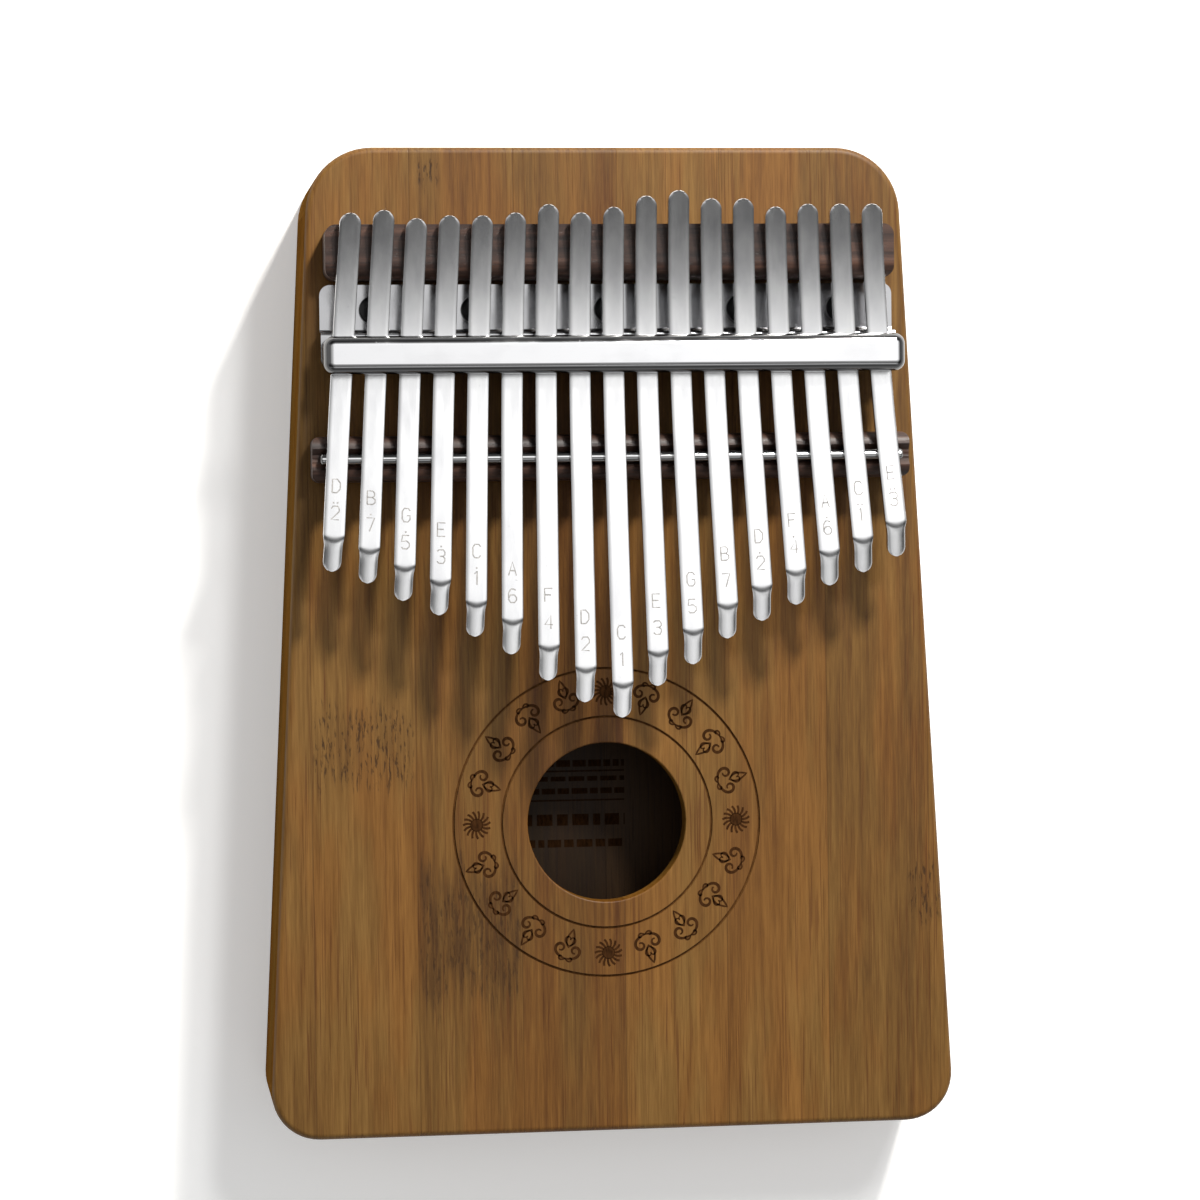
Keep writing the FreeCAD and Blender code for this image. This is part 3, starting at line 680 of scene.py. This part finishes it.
def make_tine(index, steel, mark):
    line = TineLine(index)
    builder = Builder()
    rows = line.stations()
    size = len(tine_section(1.0, 0.0))
    points = []
    for y, z, tilt, half_width in rows:
        for across, above in tine_section(half_width, tip_crown(line, y)):
            points.append(line.world(across, y + above * math.sin(tilt), z + above * math.cos(tilt)))
    faces = []
    for k in range(len(rows) - 1):
        for c in range(size):
            d = (c + 1) % size
            faces.append((k * size + c, (k + 1) * size + c, (k + 1) * size + d, k * size + d))
    faces.append(tuple(range(size)))
    faces.append(tuple(reversed(range((len(rows) - 1) * size, len(rows) * size))))
    builder.add(points, faces)
    add_note_mark(builder, line, index)
    held = "tine_%02d" % (index + 1)
    tine = builder.make(held + "_strip", [steel, mark], smooth_deg=SMOOTH_DEG)
    start = line.world(0, *line.root) * MM
    end = line.world(0, *line.on_run(BLEND_SHARE)) * MM
    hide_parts(held, held + "_free")
    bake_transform(tine)


def add_note_mark(builder, line, index):
    """Note letter with its number nearer the tip and a dot for each octave above the lowest."""
    letter = NOTE_NAMES[index]
    number = NOTE_NUMBERS[letter]
    octave = SEMITONES[index] // 12

    def on_top(x, up):
        y = line.bend_start[0] + up * math.cos(SLOPE)
        z = line.bend_start[1] - up * math.sin(SLOPE)
        above = HALF_T + INK_LIFT
        return line.world(x, y + above * math.sin(SLOPE), z + above * math.cos(SLOPE))

    for glyph, centre in ((number, NUMBER_ABOVE_BEND), (letter, LETTER_ABOVE_BEND)):
        for stroke in GLYPHS[glyph]:
            points = [((x - 0.5) * GLYPH_WIDTH, centre + (y - 0.5) * GLYPH_HEIGHT) for x, y in stroke]
            lay_ribbon(builder, points, GLYPH_STROKE, on_top, slot=1)
    for k in range(octave):
        x = (k - (octave - 1) / 2) * OCTAVE_DOT_PITCH
        y = NUMBER_ABOVE_BEND + GLYPH_HEIGHT / 2 + OCTAVE_DOT_GAP
        dot = [(x, y - OCTAVE_DOT / 2), (x, y + OCTAVE_DOT / 2)]
        lay_ribbon(builder, dot, OCTAVE_DOT, on_top, slot=1)


# ======================= engraving =======================

def arc_points(cx, cy, radius, start_deg, end_deg, steps):
    angles = [math.radians(start_deg + (end_deg - start_deg) * k / steps) for k in range(steps + 1)]
    return [(cx + radius * math.cos(a), cy + radius * math.sin(a)) for a in angles]


def curl(start, heading_deg, size, turns, side):
    """A spiral stroke whose curvature grows evenly along it. side 1 curls left, -1 is its mirror image."""
    step = math.sqrt(2 * math.pi * turns) / CURL_STEPS
    x, y = 0.0, 0.0
    points = [start]
    for k in range(CURL_STEPS):
        heading = math.radians(heading_deg) + ((k + 0.5) * step) ** 2
        x += math.cos(heading) * step * size
        y += math.sin(heading) * step * size
        points.append((start[0] + side * x, start[1] + y))
    return points


def leaf():
    """Closed outline of a pointed leaf that stands on the ornament's middle line."""
    shares = [k / LEAF_STEPS for k in range(LEAF_STEPS + 1)]
    right = [(LEAF_WIDTH / 2 * math.sin(math.pi * share ** 0.8), LEAF_LENGTH * share) for share in shares]
    return right + [(-x, y) for x, y in right[-2:0:-1]]


def ornament():
    """Abstract mirror-symmetric scrollwork about 6.5 mm tall: open strokes and one leaf."""
    strokes = []
    for side in (1, -1):
        for height, heading_deg, size, turns, width in ORNAMENT_CURLS:
            strokes.append((curl((0.0, height), heading_deg, size, turns, side), width))
    return strokes, leaf()


def make_rosette(ink, ring_ink):
    builder = Builder()
    z = BOARD_TOP + INK_LIFT
    for radius in RING_RADII:
        ring = arc_points(HOLE_X, HOLE_Y, radius, 0, 360, RING_STEPS)[:-1]
        lay_ribbon(builder, ring, RING_LINE, flat_at(BOARD_TOP - RING_DEPTH + INK_LIFT), slot=1,
                   closed=True)
    for quarter in range(4):
        base = 90 * quarter
        angle = math.radians(base)
        add_star(builder, HOLE_X + BAND_R * math.cos(angle), HOLE_Y + BAND_R * math.sin(angle), z)
        for k in range(ORNAMENTS_PER_QUARTER):
            turn = math.radians(base + 90 * (k + 1) / (ORNAMENTS_PER_QUARTER + 1))
            add_ornament(builder, turn, 1 if k % 2 == 0 else -1, z)
    rosette = builder.make("rosette_engraving", [ink, ring_ink])
    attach(rosette, "body")


def add_ornament(builder, turn, up, z):
    """Stand one ornament in the band at an angle; up is 1 to face outwards or -1 to face the hole."""
    cx, cy = HOLE_X + BAND_R * math.cos(turn), HOLE_Y + BAND_R * math.sin(turn)
    spin = turn - math.pi / 2 * up

    def placed(points):
        return [(cx + x * math.cos(spin) - y * math.sin(spin),
                 cy + x * math.sin(spin) + y * math.cos(spin)) for x, y in points]

    strokes, outline = ornament()
    for stroke, width in strokes:
        lay_ribbon(builder, placed(stroke), width, flat_at(z), taper=0.5)
    lay_ribbon(builder, placed(outline), LEAF_LINE, flat_at(z), closed=True)


def add_star(builder, cx, cy, z):
    """A small sun: a disc with a ring of stubby rays that lean the same way."""
    disc = [(cx + x, cy + y, z) for x, y in arc_points(0, 0, STAR_DISC_R, 0, 360, STAR_DISC_STEPS)[:-1]]
    builder.add(disc, [tuple(range(len(disc)))])
    inner = STAR_DISC_R * 0.9
    for k in range(STAR_RAYS):
        ray = []
        for j in range(RAY_STEPS + 1):
            r = inner + (STAR_R - inner) * j / RAY_STEPS
            angle = 2 * math.pi * k / STAR_RAYS + STAR_LEAN * (j / RAY_STEPS) ** 2
            ray.append((cx + r * math.cos(angle), cy + r * math.sin(angle)))
        lay_ribbon(builder, ray, STAR_RAY_WIDTH, flat_at(z))


def make_inside_marks(ink):
    """Plain rules and rows of dashes printed inside on the back board, seen through the hole."""
    builder = Builder()
    z = BACK_BOARD_TOP + INK_LIFT
    left, right = HOLE_X + INSIDE_LEFT, HOLE_X + INSIDE_RIGHT
    for offset, thick, gap in INSIDE_ROWS:
        x = left + random.uniform(0.0, 3.0)
        while x < right:
            dash = random.uniform(1.1, 3.2)
            ends = [(x, HOLE_Y + offset), (min(x + dash, right), HOLE_Y + offset)]
            lay_ribbon(builder, ends, thick, flat_at(z))
            x += dash + gap
    for offset in INSIDE_RULES:
        ends = [(left, HOLE_Y + offset), (right, HOLE_Y + offset)]
        lay_ribbon(builder, ends, INSIDE_RULE_WIDTH, flat_at(z))
    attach(builder.make("inside_marks", [ink]), "body")


# ======================= scene =======================

def paint(nodes, material, *names):
    for name in names:
        data = nodes[name].data
        data.materials.clear()
        data.materials.append(material)


def make_floor():
    bpy.ops.mesh.primitive_plane_add(size=FLOOR_SIDE, location=(0, 0, 0))
    floor = bpy.context.object
    floor.name = "floor"
    floor.data.materials.append(pale_floor("floor_paper"))


def aim(obj, target):
    obj.rotation_mode = "QUATERNION"
    obj.rotation_quaternion = (Vector(target) - obj.location).to_track_quat("-Z", "Y")


def softbox(name, place, size, watts, tint=(1, 1, 1)):
    """A rectangular lamp aimed at the middle of the board and unseen by the camera."""
    light = bpy.data.lights.new(name, "AREA")
    light.shape = "RECTANGLE"
    light.size, light.size_y = size
    light.energy = watts
    light.color = tint
    obj = bpy.data.objects.new(name, light)
    obj.location = place
    bpy.context.scene.collection.objects.link(obj)
    aim(obj, (0, 0, BOARD_TOP * MM))
    obj.visible_camera = False


def make_lights():
    softbox("key", KEY_PLACE, KEY_SIZE, KEY_WATTS, KEY_TINT)
    softbox("fill", FILL_PLACE, FILL_SIZE, FILL_WATTS)
    world = bpy.data.worlds.new("studio")
    bpy.context.scene.world = world
    t = Tree(world)
    direction = t.add("ShaderNodeTexCoord").outputs["Generated"]
    axes = t.add("ShaderNodeSeparateXYZ", {"Vector": direction}).outputs
    depth = t.ramp(t.span(axes[1], -1.0, 1.0), [((y + 1) / 2, (v, v, v)) for y, v in SKY_BY_DEPTH])
    side = t.ramp(t.span(axes[0], -1.0, 1.0), [((x + 1) / 2, (v, v, v)) for x, v in SKY_BY_SIDE])
    overhead = t.span(axes[2], HORIZON_TOP_Z, OVERHEAD_Z, smooth=True)
    sky = t.mix(overhead, HORIZON_TONE, t.mix(1.0, depth, side, blend="MULTIPLY"))
    back = t.add("ShaderNodeBackground", {"Color": sky, "Strength": SKY_STRENGTH})
    t.tree.links.new(back.outputs[0], t.add("ShaderNodeOutputWorld").inputs["Surface"])


def make_camera():
    data = bpy.data.cameras.new("camera")
    data.sensor_width = SENSOR_MM
    data.lens = CAMERA_LENS_MM
    data.clip_start, data.clip_end = 0.05, 20.0
    camera = bpy.data.objects.new("camera", data)
    camera.location = Vector(CAMERA_PLACE) * MM
    x, y, z = [math.radians(a) for a in CAMERA_TURN_DEG]
    turn = Matrix.Rotation(x, 3, "X") @ Matrix.Rotation(y, 3, "Y") @ Matrix.Rotation(z, 3, "Z")
    camera.rotation_mode = "QUATERNION"
    camera.rotation_quaternion = turn.to_quaternion()
    bpy.context.scene.collection.objects.link(camera)
    bpy.context.scene.camera = camera


def paint_cad_nodes(nodes):
    """Give every CAD node that stays visible its material."""
    seams = (BACK_BOARD_TOP, TOP_BOARD_UNDERSIDE)
    back_tones = [[c * BACK_BOARD_LIFT for c in tone] for tone in BAMBOO_TONES]
    paint(nodes, bamboo("bamboo_top", BAMBOO_TONES, seams=seams, knots=TOP_KNOTS), "top_board")
    paint(nodes, bamboo("bamboo_back", back_tones, seams=seams), "back_board")
    paint(nodes, bamboo("bamboo_side", BAMBOO_TONES, turn_y=90, seams=seams), "left_wall", "right_wall")
    paint(nodes, bamboo("bamboo_end", BAMBOO_TONES, turn_z=90, turn_x=90, seams=seams),
          "head_block", "tail_block")
    paint(nodes, raw_wood("raw_block"), "anchor_block")
    paint(nodes, rosewood("rosewood"), "backrest", "bridge")
    # The bar and the wire get painted shade on their sides.
    paint(nodes, polished("bar_chrome", (0.86, 0.86, 0.87), 0.05, wipe_turn=90, painted_side_shade=0.16),
          "pressure_bar")
    paint(nodes, polished("plate_chrome", (0.52, 0.52, 0.53), 0.10), "bracket")
    paint(nodes, polished("wire_steel", (0.90, 0.90, 0.90), 0.02, wipe_turn=90, smudge=0.03,
                          painted_side_shade=0.22), "saddle_wire")
    paint(nodes, black_oxide("black_screws"), "bracket_screws")
    paint(nodes, polished("zinc_screws", (0.55, 0.55, 0.56), 0.3), "bar_screws")


def main():
    paint_cad_nodes(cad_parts)
    steel, mark = tine_steel("tine_steel"), etched_mark("tine_marks")
    for index in range(TINE_COUNT):
        make_tine(index, steel, mark)
    ink = burnt_line("burnt_line", (0.018, 0.007, 0.002), (0.050, 0.020, 0.006))
    make_rosette(ink, burnt_line("ring_line", (0.040, 0.016, 0.004), (0.085, 0.036, 0.010)))
    make_inside_marks(ink)
    make_floor()
    make_lights()
    make_camera()
    bpy.context.scene.view_settings.view_transform = "Standard"


main()
